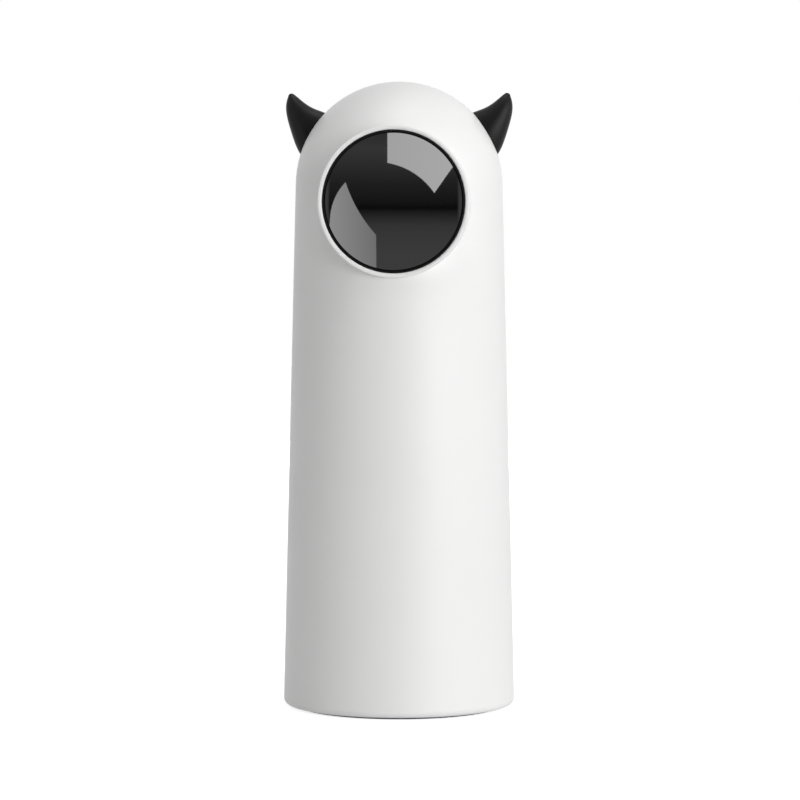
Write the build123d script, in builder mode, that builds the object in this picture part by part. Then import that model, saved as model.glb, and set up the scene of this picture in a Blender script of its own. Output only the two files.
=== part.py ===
from build123d import *
import os
from math import acos, atan2, cos, degrees, pi, radians, sin, sqrt, tan

os.makedirs("parts", exist_ok=True)

# An automatic cat laser toy: a white one-piece sleeve with a domed crown, a round smoked window in
# a raised rim and two black horns. A frame standing on the base plate carries the battery, the
# control board and a laser that two small geared motors pan and tilt behind the window.
# Frame: origin on the table under the sleeve's axis, +Z up, the window faces -Y. Millimetres.

# --- Driving dimensions -------------------------------------------------------------------------

# Sleeve
total_height = 204.7        # table to crown
base_radius = 38.0          # where the side's line meets the table
side_draft = 1.39           # lean of the side, degrees
wall = 2.2
foot_round = 1.9            # rounding round the bottom edge
pad_proud = 0.8             # the foot pad lifts the sleeve by this much

# Window and its raised rim
window_drop = 39.9          # crown to the window's centre, which is also the laser's tilt axis
window_radius = 22.75
rim_width = 1.45
rim_proud = 1.8             # rim's front face beyond the side's line at the window's centre
rim_round = 0.5
bezel_sunk = 0.5            # bezel's face behind the rim's face
bezel_width = 0.9
bezel_depth = 1.4
lens_thickness = 1.4
lens_bulge = 2.6
gasket_thickness = 0.8
ledge_width = 1.6
ledge_depth = 1.8

# Horns: roots given as drops below the crown, edges as steps from the root towards the tip
horn_top_drop = 10.1
horn_low_drop = 23.7
horn_tip_radius = 1.15      # ball that rounds the tip
horn_tip = (11.15, 5.25)    # its middle, beyond the upper root point
horn_tip_turns = (38.0, 96.0)               # directions of the two edges at the ball, degrees
horn_root_turns = (16.0, 63.0)              # and at the root
horn_top_edge = (6.4, 3.0)  # a point of the hollow upper edge, beyond the upper root point
horn_back_edge = ((3.95, 9.9), (4.7, 15.1)) # points of the round outer edge, beyond the lower one
horn_depth_share = 0.6      # front-to-back thickness over the width seen from the front
horn_sections = (0.0, 0.35, 0.7, 1.0)       # shares of the way from root to tip
horn_peg_radius = 2.3
horn_boss_radius = 4.5
horn_boss_length = 6.2

# Base
plate_thickness = 4.0
plate_web = 2.4             # thickness of the plate's middle
pad_thickness = 2.0
pad_inset = 4.2             # pad's outer edge inside the side's line
pad_width = 10.2
base_boss_gap = 2.05        # base screw bosses, inside the wall
base_boss_radius = 3.4
base_boss_height = 14.0
base_screw_count = 4

# Chassis
chassis_wall = 2.4
standoff_count = 3
standoff_height = 4.8
standoff_radius = 3.2
standoff_gap = 0.8          # screw heads on the stand-offs, clear of the spine
chassis_foot_gap = 1.1      # chassis foot inside the plate's raised ring
deck_boss_radius = 7.0
deck_boss_length = 5.6

# Battery cell
cell_radius = 9.2
cell_length = 65.0
cell_edge = 0.5             # rounding of the wrap round the cell's ends
cell_cap_radius = 2.9
cell_cap_rise = 1.2
cell_y = 3.6
saddle_thickness = 3.0
saddle_shares = (0.15, 0.8) # saddles' places along the cell
saddle_reach = 8.0
clamp_height = 8.0
clamp_wall = 1.6
clamp_screw_x = 13.6

# Leads, in pairs, and the spine's slot that they pass through
wire_radius = 0.65
lead_spread = 1.2           # each wire's offset from the pair's middle
slot_width = 19.0
slot_height = 14.0
slot_rise = 11.6            # slot's middle above the top of the cell
cell_lead_drop = 2.8        # the cell's leads, below the slot's middle
motor_lead_x = -2.5
motor_lead_run = 12.0       # straight run below the pan motor

# Control board and what sits on it
board_side_gap = 1.0        # board's edges, clear of the sleeve's foot bosses
board_height = 48.0
board_thickness = 1.6
board_low = 14.0
board_hole_inset = 3.5
post_radius = 2.6
socket_size = (6.0, 5.8, 5.0)               # wire socket: width, height, depth
socket_pitch = 6.5
socket_rise = 36.0                          # sockets' middle above the board's foot
light_body = (2.0, 1.2, 0.8)                # light emitter: width, height, depth
rear_chips = (                              # width, height, depth, then x and rise on the board
    (7.0, 7.0, 1.0, 9.5, 22.0),             # controller
    (3.0, 3.0, 0.9, -10.0, 12.0),           # charging chip
    (4.0, 4.0, 1.8, -10.0, 21.0),           # coil
    (3.2, 1.6, 1.0, 10.0, 11.0),            # resistor
)
usb_height = 24.0
usb_width = 8.94
usb_thick = 3.26
usb_length = 10.8
usb_metal = 0.3
usb_sunk = 0.5
usb_hollow = 6.7            # depth of the socket's mouth
tongue_width = 6.69
tongue_thick = 0.7
light_height = 36.0
light_radius = 1.1
light_gap = 0.4             # emitter to the pipe's end
button_height = 48.0
button_radius = 4.4
button_lip = 1.8
button_lip_thickness = 1.2
button_proud = 0.5
button_travel = 0.6
dish_radius = 20.0          # the ball that hollows the button's face for a fingertip
dish_depth = 0.25
switch_size = 6.0
switch_depth = 3.4
switch_round = 0.5
plunger_radius = 1.7
plunger_proud = 1.0

# Gears
pressure_angle = 25.0
tooth_tip = 0.85            # tooth above the pitch circle, in modules
tooth_root = 1.05           # tooth below the pitch circle, in modules
tooth_sink = 0.9            # where a tooth's sides start, in root radii
backlash = 0.12
pan_module = 0.8
pan_gear_teeth = 30
pan_pinion_teeth = 10
pan_gear_width = 3.2
tilt_module = 0.6
tilt_gear_teeth = 32
tilt_pinion_teeth = 12
tilt_gear_width = 2.4

# Pan drive
bush_radius = 4.2
bush_flange_radius = 6.2
bush_flange = 1.0
yoke_shaft_radius = 3.0
yoke_hub_radius = 7.0
yoke_plate = 2.4
peg_offset = 9.2            # driving pegs, from the axis
peg_radius = 1.0
pan_can_radius = 7.5
pan_can_length = 14.0
pan_ear_x = 9.6
motor_flange = 0.8
pan_shaft_radius = 1.0
pan_bore_depth = 6.0
clip_thickness = 0.9
clip_groove = 0.7
clip_width = 2.0

# Tilt drive and laser
arm_gap = 18.0              # between the yoke's two arms
arm_thickness = 2.4
arm_top_radius = 4.6
gear_holes = 5
gear_hole_radius = 1.6
tilt_can_radius = 4.0
tilt_can_length = 12.0
tilt_ear_y = 6.6
tilt_shaft_radius = 0.75
tilt_bore_depth = 5.0
tilt_motor_clear = 5.0
cradle_width = 12.0
cradle_length = 12.0
cradle_height = 8.4
cradle_hub_radius = 2.8
pin_radius = 1.5
barrel_radius = 3.0
barrel_length = 18.0
barrel_nose = 11.0          # front of the barrel from the tilt axis
barrel_bore = 1.7
nose_radius = 2.55
nose_length = 2.4
lens_seat = 3.0
laser_lens_thickness = 1.2
laser_board_width = 5.4
laser_board_thickness = 1.0
laser_board_round = 0.4

# Clearances
fit_gap = 0.02              # fixed together, per side
running_gap = 0.05          # turning shafts, per side
slide_gap = 0.2             # loose fits and faces that pass each other
free_gap = 0.3              # apart at every position

# Screws: shank radius for each size, and the head's size in shank radii
small_screw = 0.8
screw = 1.1
head_spread = 2.1
head_rise = 1.4

# --- Sizes worked out from them -----------------------------------------------------------------

lean = radians(side_draft)
slope = tan(lean)
# The crown is the sphere that meets the drafted side smoothly.
crown_radius = (base_radius - total_height * slope) * cos(lean) / (1 - sin(lean))
dome_level = total_height - crown_radius
window_height = total_height - window_drop
rim_radius = window_radius + rim_width


def side_radius(height, depth=0.0):
    """Radius of the drafted side at a height, at a depth inside its outer face."""
    return base_radius - height * slope - depth / cos(lean)


def dome_radius(height):
    """Radius of the dome's outer face at a height above its widest place."""
    return sqrt(crown_radius**2 - (height - dome_level) ** 2)


# Levels, from the table up
plate_top = pad_proud + plate_thickness
plate_floor = pad_proud + plate_web
chassis_level = plate_floor + standoff_height
foot_top = chassis_level + chassis_wall
pan_distance = pan_module * (pan_gear_teeth + pan_pinion_teeth) / 2
tilt_distance = tilt_module * (tilt_gear_teeth + tilt_pinion_teeth) / 2
tilt_motor_level = window_height - tilt_distance
yoke_top = tilt_motor_level - tilt_can_radius - tilt_motor_clear
yoke_bottom = yoke_top - yoke_plate
gear_bottom = yoke_bottom - pan_gear_width
hub_bottom = gear_bottom - 2 * slide_gap
bush_top = hub_bottom - slide_gap
deck_top = bush_top - bush_flange
deck_bottom = deck_top - chassis_wall
deck_boss_bottom = deck_bottom - deck_boss_length

# Rings of screws, by radius
base_screw_ring = side_radius(plate_top, wall) - base_boss_gap - base_boss_radius
chassis_foot_radius = base_screw_ring - base_boss_radius - chassis_foot_gap

# Distances behind the axis, towards the rear wall
spine_front = cell_y + cell_radius + slide_gap
spine_back = spine_front + chassis_wall
standoff_ring = spine_back + screw * head_spread + standoff_gap
usb_mouth = side_radius(usb_height) - usb_sunk
board_back = usb_mouth - usb_length
board_front = board_back - board_thickness
board_middle = board_low + board_height / 2
board_width = 2 * (base_screw_ring * cos(pi / base_screw_count) - base_boss_radius - board_side_gap)

# Distances in front of the axis, at the window
rim_front = side_radius(window_height) + rim_proud
bezel_front = rim_front - bezel_sunk
lens_front = bezel_front - bezel_depth
lens_back = lens_front - lens_thickness
ledge_front = lens_back - gasket_thickness
ledge_back = ledge_front - ledge_depth
aperture_radius = window_radius - ledge_width
lens_face_radius = window_radius - bezel_width


def window_plane(distance):
    """Plane square to the window's axis, that far in front of the sleeve's axis, facing out."""
    return Plane(origin=(0, -distance, window_height), x_dir=(1, 0, 0), z_dir=(0, -1, 0))


def rear_plane(distance, height=0.0, x=0.0):
    """Upright plane that far behind the axis, facing the rear."""
    return Plane(origin=(x, distance, height), x_dir=(-1, 0, 0), z_dir=(0, 1, 0))


def side_plane(distance, height):
    """Upright plane that far to the right of the axis, facing right, its origin at a height."""
    return Plane(origin=(distance, 0, height), x_dir=(0, 1, 0), z_dir=(1, 0, 0))


def level_plane(height, y=0.0):
    """Level plane at a height, facing up, its origin that far behind the axis."""
    return Plane(origin=(0, y, height))


def pan_head_screw(shank_radius, length):
    """Adds a screw to the open part: its head above the location, its shank below."""
    head = (Align.CENTER, Align.CENTER, Align.MIN)
    shank = (Align.CENTER, Align.CENTER, Align.MAX)
    Cylinder(shank_radius * head_spread, shank_radius * head_rise, align=head)
    Cylinder(shank_radius, length, align=shank)


def sleeve_section(depth, floor):
    """Draws the half section of the sleeve's form, taken in by depth, down to a floor."""
    with BuildLine() as outline:
        dome = CenterArc((0, dome_level), crown_radius - depth, side_draft, 90 - side_draft)
        Polyline(dome @ 0, (side_radius(floor, depth), floor), (0, floor), dome @ 1)
    make_face(outline.edges())


def gear_face(teeth, module_size, lead):
    """Draws an involute spur gear in the open sketch, one tooth centred on the lead angle."""
    pitch_radius = module_size * teeth / 2
    base_circle = pitch_radius * cos(radians(pressure_angle))
    root_radius = pitch_radius - tooth_root * module_size
    tip_radius = pitch_radius + tooth_tip * module_size

    def half_angle(radius):
        """Half the angle that a tooth fills at a radius."""
        roll = acos(min(1.0, base_circle / radius))
        at_pitch = radians(pressure_angle)
        opening = tan(at_pitch) - at_pitch - tan(roll) + roll
        return (pi - backlash / module_size) / (2 * teeth) + opening

    def flank_point(radius, side):
        angle = side * half_angle(radius)
        return (radius * cos(angle), radius * sin(angle))

    flank_start = max(base_circle, root_radius)
    flank_middle = (flank_start + tip_radius) / 2
    inside = tooth_sink * root_radius / flank_start
    with BuildSketch() as tooth:
        with BuildLine():
            feet = []
            for side in (1, -1):
                start = flank_point(flank_start, side)
                foot = tuple(inside * value for value in start)
                ThreePointArc(start, flank_point(flank_middle, side), flank_point(tip_radius, side))
                Line(foot, start)
                feet.append(foot)
            Line(feet[0], feet[1])
            ThreePointArc(flank_point(tip_radius, 1), (tip_radius, 0), flank_point(tip_radius, -1))
        make_face()
    Circle(root_radius)
    with PolarLocations(0, teeth, start_angle=lead):
        add(tooth.sketch)


# --- Window -------------------------------------------------------------------------------------

# Smoked window: a shallow dome moulded in one with the flange that the bezel traps.
with BuildPart() as lens:
    with BuildSketch(Plane.XY.offset(window_height)):
        with BuildLine():
            crown = -bezel_front - lens_bulge
            face_edge = (lens_face_radius - slide_gap, -bezel_front)
            hollow_edge = (face_edge[0] - lens_thickness, -lens_back)
            TangentArc((0, crown), face_edge, tangent=(1, 0))
            TangentArc((0, crown + lens_thickness), hollow_edge, tangent=(1, 0))
            Polyline(
                face_edge,
                (face_edge[0], -lens_front),
                (window_radius - slide_gap, -lens_front),
                (window_radius - slide_gap, -lens_back),
                hollow_edge,
            )
            Line((0, crown), (0, crown + lens_thickness))
        make_face()
    revolve(axis=Axis((0, 0, window_height), (0, 1, 0)))
lens.part.label = "lens"
export_step(lens.part, "parts/lens.step")

# Black ring that clips into the rim and holds the window's flange down.
with BuildPart() as lens_bezel:
    with BuildSketch(window_plane(lens_front)):
        Circle(window_radius - fit_gap)
        Circle(lens_face_radius, mode=Mode.SUBTRACT)
    extrude(amount=bezel_depth)
    chamfer(lens_bezel.faces().sort_by(Axis.Y)[0].edges().sort_by(Edge.length)[0], bezel_width / 3)
lens_bezel.part.label = "lens_bezel"
export_step(lens_bezel.part, "parts/lens_bezel.step")

# Foam ring between the window's flange and the ledge in the sleeve.
with BuildPart() as lens_gasket:
    with BuildSketch(window_plane(ledge_front)):
        Circle(window_radius - slide_gap)
        Circle(aperture_radius + slide_gap, mode=Mode.SUBTRACT)
    extrude(amount=gasket_thickness)
lens_gasket.part.label = "lens_gasket"
export_step(lens_gasket.part, "parts/lens_gasket.step")

# --- Horns --------------------------------------------------------------------------------------

# The right horn is drawn from its outline in the XZ plane: a hollow upper edge and a round outer
# edge rise from the dome and meet the ball at the tip, and rounded sections span the two.
horn_top = Vector(dome_radius(total_height - horn_top_drop), total_height - horn_top_drop)
horn_low = Vector(dome_radius(total_height - horn_low_drop), total_height - horn_low_drop)
tip = horn_top + Vector(horn_tip)
tip_top = tip + Vector(0, horn_tip_radius).rotate(Axis.Z, horn_tip_turns[0])
tip_back = tip + Vector(0, -horn_tip_radius).rotate(Axis.Z, horn_tip_turns[1])
horn_root = (horn_top + horn_low) / 2
horn_lean = degrees(atan2(horn_low.X - horn_top.X, horn_top.Y - horn_low.Y))
horn_axis = Vector(1, 0).rotate(Axis.Z, horn_lean)
horn_sink = 1.5 * wall


def horn_plane(distance, side=1):
    """Plane square to a horn's peg, that far out of its root, facing out."""
    return Plane(
        origin=(
            side * (horn_root.X + distance * horn_axis.X),
            0,
            horn_root.Y + distance * horn_axis.Y,
        ),
        x_dir=(0, 1, 0),
        z_dir=(side * horn_axis.X, 0, horn_axis.Y),
    )


def edge_directions(edge):
    """Directions of the upper edge, 0, or the outer edge, 1, at its root and at the tip."""
    turns = (horn_root_turns[edge], horn_tip_turns[edge])
    return [Vector(1, 0).rotate(Axis.Z, turn) for turn in turns]


with BuildLine() as upper_edge:
    Spline(horn_top, horn_top + Vector(horn_top_edge), tip_top, tangents=edge_directions(0))
with BuildLine() as outer_edge:
    steps = [horn_low + Vector(step) for step in horn_back_edge]
    Spline(horn_low, *steps, tip_back, tangents=edge_directions(1))


def horn_section(share, sink=0.0):
    """Plane, half width and half depth of the section at a share of the way to the tip."""
    above, below = upper_edge.line @ share, outer_edge.line @ share
    across = (above - below).normalized()
    along = Vector(across.Y, -across.X)
    middle = (above + below) / 2 - along * sink
    plane = Plane(
        origin=(middle.X, 0, middle.Y), x_dir=(across.X, 0, across.Y), z_dir=(along.X, 0, along.Y)
    )
    half_width = (above - below).length / 2
    return plane, half_width, half_width * (horn_depth_share + (1 - horn_depth_share) * share)


with BuildPart() as right_horn:
    spans = [horn_section(0, horn_sink), *(horn_section(share) for share in horn_sections)]
    for plane, half_width, half_depth in spans:
        with BuildSketch(plane):
            Ellipse(half_width, half_depth)
    loft()
    # The ball is a little fuller than the last section, so that it closes it.
    with Locations((tip.X, 0, tip.Y)):
        Sphere(horn_tip_radius + fit_gap)
    # The root takes the dome's curve, so the horn sits on it without a gap.
    with BuildSketch(Plane.XZ):
        sleeve_section(0, pad_proud)
    revolve(axis=Axis.Z, mode=Mode.SUBTRACT)
    with BuildSketch(horn_plane(slide_gap - horn_boss_length)):
        Circle(horn_peg_radius)
    extrude(amount=horn_boss_length + wall)
    with BuildSketch(horn_plane(slide_gap - horn_boss_length)):
        Circle(screw + running_gap)
    extrude(amount=horn_boss_length - slide_gap, mode=Mode.SUBTRACT)
right_horn.part.label = "right_horn"
export_step(right_horn.part, "parts/right_horn.step")

with BuildPart() as left_horn:
    add(right_horn.part.mirror(Plane.YZ))
left_horn.part.label = "left_horn"
export_step(left_horn.part, "parts/left_horn.step")

# One screw from inside the dome pulls each horn on to it.
with BuildPart() as horn_screws:
    for side in (1, -1):
        seat = horn_plane(-horn_boss_length, side)
        seat = Plane(origin=seat.origin, x_dir=seat.x_dir, z_dir=-seat.z_dir)
        with Locations(seat):
            pan_head_screw(screw, horn_boss_length - wall)
horn_screws.part.label = "horn_screws"
export_step(horn_screws.part, "parts/horn_screws.step")

# --- Sleeve -------------------------------------------------------------------------------------

# One moulding, open at the foot: the drafted side and the dome, with the window's rim and its inner
# ledge, the horns' bosses, and four screw bosses webbed to the wall just above the base plate.
with BuildPart() as body_shell:
    with BuildSketch(Plane.XZ):
        sleeve_section(0, pad_proud)
    revolve(axis=Axis.Z)
    fillet(body_shell.edges().filter_by(GeomType.CIRCLE).sort_by(Axis.Z)[0], foot_round)
    with BuildSketch(window_plane(0)):
        Circle(rim_radius)
    extrude(amount=rim_front)
    with BuildSketch(Plane.XZ):
        sleeve_section(wall, 0)
    revolve(axis=Axis.Z, mode=Mode.SUBTRACT)
    with BuildSketch(window_plane(ledge_back)):
        Circle(rim_radius)
    extrude(amount=rim_front - ledge_back)
    with BuildSketch(window_plane(0)):
        Circle(aperture_radius)
    extrude(amount=rim_front, mode=Mode.SUBTRACT)
    with BuildSketch(window_plane(ledge_front)):
        Circle(window_radius)
    extrude(amount=rim_front - ledge_front, mode=Mode.SUBTRACT)
    fillet(body_shell.faces().sort_by(Axis.Y)[0].edges(), rim_round)
    # Horn bosses end flat inside the dome, for the screws.
    for side in (1, -1):
        with BuildSketch(horn_plane(-horn_boss_length, side)):
            Circle(horn_boss_radius)
        extrude(amount=horn_boss_length - wall / 2)
        with BuildSketch(horn_plane(-horn_boss_length, side)):
            Circle(horn_peg_radius + running_gap)
        extrude(amount=horn_boss_length + wall, mode=Mode.SUBTRACT)
    # Foot bosses, each with a web that reaches half way into the wall.
    web_end = side_radius(plate_top, wall / 2)
    with BuildSketch(Plane.XY.offset(plate_top)):
        with PolarLocations(base_screw_ring, base_screw_count, start_angle=45):
            Circle(base_boss_radius)
        with PolarLocations((base_screw_ring + web_end) / 2, base_screw_count, start_angle=45):
            Rectangle(web_end - base_screw_ring, base_boss_radius)
    extrude(amount=base_boss_height)
    with BuildSketch(Plane.XY.offset(plate_top)):
        with PolarLocations(base_screw_ring, base_screw_count, start_angle=45):
            Circle(screw + running_gap)
    extrude(amount=base_boss_height - wall, mode=Mode.SUBTRACT)
    # Rear openings for the button, the light and the charging socket.
    for height, radius in (
        (button_height, button_radius + slide_gap),
        (light_height, light_radius + running_gap),
    ):
        with BuildSketch(rear_plane(board_back, height)):
            Circle(radius)
        extrude(amount=base_radius - board_back, mode=Mode.SUBTRACT)
    with BuildSketch(rear_plane(board_back, usb_height)):
        RectangleRounded(
            usb_width + 2 * slide_gap, usb_thick + 2 * slide_gap, usb_thick / 2 + slide_gap / 2
        )
    extrude(amount=base_radius - board_back, mode=Mode.SUBTRACT)
body_shell.part.label = "body_shell"
export_step(body_shell.part, "parts/body_shell.step")

# --- Base ---------------------------------------------------------------------------------------

plate_radius = side_radius(plate_top, wall) - slide_gap
pad_outer_radius = base_radius - pad_inset
pad_inner_radius = pad_outer_radius - pad_width
groove_level = pad_thickness
groove_inner = pad_inner_radius - slide_gap
groove_outer = pad_outer_radius + slide_gap
head_depth = screw * head_rise + slide_gap
screw_seat = groove_level + head_depth
pocket_radius = base_screw_ring - base_boss_radius - slide_gap

# Base plate: a turned-up disc that closes the sleeve, grooved below for the pad. The screw heads
# sink under the pad, and three stand-offs carry the chassis.
with BuildPart() as base_plate:
    with BuildSketch(Plane.XZ):
        Polygon(
            (0, pad_proud),
            (groove_inner, pad_proud),
            (groove_inner, groove_level),
            (groove_outer, groove_level),
            (groove_outer, pad_proud),
            (plate_radius, pad_proud),
            (plate_radius, plate_top),
            (pocket_radius, plate_top),
            (pocket_radius, plate_floor),
            (0, plate_floor),
            align=None,
        )
    revolve(axis=Axis.Z)
    with BuildSketch(Plane.XY.offset(plate_floor)):
        with PolarLocations(standoff_ring, standoff_count, start_angle=90):
            Circle(standoff_radius)
    extrude(amount=standoff_height)
    with BuildSketch(Plane.XY.offset(chassis_level)):
        with PolarLocations(standoff_ring, standoff_count, start_angle=90):
            Circle(screw + running_gap)
    extrude(amount=-standoff_height, mode=Mode.SUBTRACT)
    with BuildSketch(Plane.XY.offset(groove_level)):
        with PolarLocations(base_screw_ring, base_screw_count, start_angle=45):
            Circle(screw + slide_gap)
    extrude(amount=plate_top - groove_level, mode=Mode.SUBTRACT)
    with BuildSketch(Plane.XY.offset(groove_level)):
        with PolarLocations(base_screw_ring, base_screw_count, start_angle=45):
            Circle(screw * head_spread + slide_gap)
    extrude(amount=head_depth, mode=Mode.SUBTRACT)
base_plate.part.label = "base_plate"
export_step(base_plate.part, "parts/base_plate.step")

# Soft ring that the toy stands on, stuck in the plate's groove over the screws.
with BuildPart() as foot_pad:
    with BuildSketch():
        Circle(pad_outer_radius)
        Circle(pad_inner_radius, mode=Mode.SUBTRACT)
    extrude(amount=pad_thickness)
    fillet(foot_pad.faces().sort_by(Axis.Z)[0].edges(), pad_proud / 2)
foot_pad.part.label = "foot_pad"
export_step(foot_pad.part, "parts/foot_pad.step")

with BuildPart() as base_screws:
    with Locations(Plane(origin=(0, 0, screw_seat), z_dir=(0, 0, -1))):
        with PolarLocations(base_screw_ring, base_screw_count, start_angle=45):
            pan_head_screw(screw, base_boss_height - wall)
base_screws.part.label = "base_screws"
export_step(base_screws.part, "parts/base_screws.step")

# --- Chassis ------------------------------------------------------------------------------------

deck_radius = side_radius(deck_top, wall) - free_gap
saddle_levels = [foot_top + share * cell_length for share in saddle_shares]
clamp_level = foot_top + cell_length / 2
cell_top = foot_top + cell_length
slot_level = cell_top + slot_rise
ear_front = cell_y + slide_gap
ear_back = ear_front + clamp_wall
board_holes = [
    (side * (board_width / 2 - board_hole_inset), level)
    for side in (1, -1)
    for level in (board_low + board_hole_inset, board_low + board_height - board_hole_inset)
]
notch_width = 2 * base_boss_radius + 2 * free_gap
notch_start = base_screw_ring - base_boss_radius - free_gap

# Chassis: a round foot, a ribbed spine with saddles for the cell, posts for the board, and a deck
# that centres the tower in the sleeve and carries the pan drive.
with BuildPart() as chassis:
    with BuildSketch(Plane.XY.offset(chassis_level)):
        Circle(chassis_foot_radius)
    extrude(amount=chassis_wall)
    # Spine and its two forward ribs
    with BuildSketch(Plane.XY.offset(foot_top)):
        with Locations((0, (spine_front + spine_back) / 2)):
            Rectangle(board_width, chassis_wall)
        rib_middle = (ear_back + spine_front) / 2
        with Locations(*((side * (board_width - chassis_wall) / 2, rib_middle) for side in (1, -1))):
            Rectangle(chassis_wall, spine_front - ear_back)
    extrude(amount=deck_bottom - foot_top)
    with BuildSketch(rear_plane(spine_front, slot_level)):
        RectangleRounded(slot_width, slot_height, chassis_wall)
    extrude(amount=chassis_wall, mode=Mode.SUBTRACT)
    # Deck, with its boss under the middle and notches that pass the sleeve's foot bosses
    with BuildSketch(Plane.XY.offset(deck_bottom)):
        Circle(deck_radius)
        with PolarLocations(notch_start + notch_width, base_screw_count, start_angle=45):
            Rectangle(2 * notch_width, notch_width, mode=Mode.SUBTRACT)
        with Locations((0, -pan_distance)):
            Circle(yoke_shaft_radius + slide_gap, mode=Mode.SUBTRACT)
    extrude(amount=chassis_wall)
    with BuildSketch(Plane.XY.offset(deck_boss_bottom)):
        Circle(deck_boss_radius)
    extrude(amount=deck_boss_length)
    with BuildSketch(Plane.XY.offset(deck_boss_bottom)):
        Circle(bush_radius + fit_gap)
    extrude(amount=deck_top - deck_boss_bottom, mode=Mode.SUBTRACT)
    with BuildSketch(Plane.XY.offset(deck_bottom)):
        with Locations(*((side * pan_ear_x, -pan_distance) for side in (1, -1))):
            Circle(screw + running_gap)
    extrude(amount=chassis_wall, mode=Mode.SUBTRACT)
    # Saddles round the back of the cell
    for level in saddle_levels:
        with BuildSketch(Plane.XY.offset(level)):
            with Locations((0, spine_front - saddle_reach / 2)):
                Rectangle(2 * (cell_radius + chassis_wall), saddle_reach)
            with Locations((0, cell_y)):
                Circle(cell_radius + slide_gap, mode=Mode.SUBTRACT)
        extrude(amount=saddle_thickness)
    # Bosses for the clamp's screws
    with BuildSketch(rear_plane(spine_front)):
        with Locations(*((side * clamp_screw_x, clamp_level) for side in (1, -1))):
            Circle(2 * screw)
    extrude(amount=ear_back - spine_front)
    with BuildSketch(rear_plane(ear_back)):
        with Locations(*((side * clamp_screw_x, clamp_level) for side in (1, -1))):
            Circle(small_screw + running_gap)
    extrude(amount=spine_back - ear_back, mode=Mode.SUBTRACT)
    # Posts behind the spine for the board
    with BuildSketch(rear_plane(spine_back)):
        with Locations(*board_holes):
            Circle(post_radius)
    extrude(amount=board_front - spine_back)
    with BuildSketch(rear_plane(spine_front)):
        with Locations(*board_holes):
            Circle(small_screw + running_gap)
    extrude(amount=board_front - spine_front, mode=Mode.SUBTRACT)
    # Holes for the screws into the stand-offs
    with BuildSketch(Plane.XY.offset(chassis_level)):
        with PolarLocations(standoff_ring, standoff_count, start_angle=90):
            Circle(screw + slide_gap)
    extrude(amount=chassis_wall, mode=Mode.SUBTRACT)
chassis.part.label = "chassis"
export_step(chassis.part, "parts/chassis.step")

with BuildPart() as chassis_screws:
    with Locations(Plane.XY.offset(foot_top)):
        with PolarLocations(standoff_ring, standoff_count, start_angle=90):
            pan_head_screw(screw, chassis_wall + standoff_height - slide_gap)
chassis_screws.part.label = "chassis_screws"
export_step(chassis_screws.part, "parts/chassis_screws.step")

# --- Battery ------------------------------------------------------------------------------------

# Rechargeable round cell, standing on the chassis foot with its positive cap up.
with BuildPart() as battery_cell:
    with BuildSketch(Plane.XY.offset(foot_top)):
        with Locations((0, cell_y)):
            Circle(cell_radius)
    extrude(amount=cell_length)
    fillet(battery_cell.edges(), cell_edge)
    with BuildSketch(Plane.XY.offset(cell_top)):
        with Locations((0, cell_y)):
            Circle(cell_cap_radius)
    extrude(amount=cell_cap_rise)
battery_cell.part.label = "battery_cell"
export_step(battery_cell.part, "parts/battery_cell.step")

# Moulded band round the front of the cell, with an ear on each side.
with BuildPart() as battery_clamp:
    band_radius = cell_radius + slide_gap + clamp_wall
    ear_reach = clamp_screw_x + 2 * screw
    with BuildSketch(Plane.XY.offset(clamp_level - clamp_height / 2)):
        with Locations((0, cell_y)):
            Circle(band_radius)
        with Locations((0, (ear_back + spine_front) / 2)):
            Rectangle(2 * band_radius, spine_front - ear_back, mode=Mode.SUBTRACT)
        with Locations((0, (ear_front + ear_back) / 2)):
            Rectangle(2 * ear_reach, clamp_wall)
        with Locations((0, cell_y)):
            Circle(cell_radius + slide_gap, mode=Mode.SUBTRACT)
        with Locations((0, spine_front)):
            Rectangle(2 * band_radius, 2 * (spine_front - ear_back), mode=Mode.SUBTRACT)
    extrude(amount=clamp_height)
    with BuildSketch(rear_plane(ear_front)):
        with Locations(*((side * clamp_screw_x, clamp_level) for side in (1, -1))):
            Circle(small_screw + slide_gap)
    extrude(amount=clamp_wall, mode=Mode.SUBTRACT)
battery_clamp.part.label = "battery_clamp"
export_step(battery_clamp.part, "parts/battery_clamp.step")

with BuildPart() as clamp_screws:
    for side in (1, -1):
        seat = Plane(origin=(side * clamp_screw_x, ear_front, clamp_level), z_dir=(0, -1, 0))
        with Locations(seat):
            pan_head_screw(small_screw, spine_back - ear_front)
clamp_screws.part.label = "clamp_screws"
export_step(clamp_screws.part, "parts/clamp_screws.step")

# --- Control board ------------------------------------------------------------------------------

with BuildPart() as main_board:
    with BuildSketch(rear_plane(board_front)):
        with Locations((0, board_middle)):
            RectangleRounded(board_width, board_height, board_thickness)
        with Locations(*board_holes):
            Circle(small_screw + slide_gap, mode=Mode.SUBTRACT)
    extrude(amount=board_thickness)
main_board.part.label = "main_board"
export_step(main_board.part, "parts/main_board.step")

with BuildPart() as board_screws:
    for x, level in board_holes:
        with Locations(rear_plane(board_back, level, -x)):
            pan_head_screw(small_screw, board_back - spine_back)
board_screws.part.label = "board_screws"
export_step(board_screws.part, "parts/board_screws.step")

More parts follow.
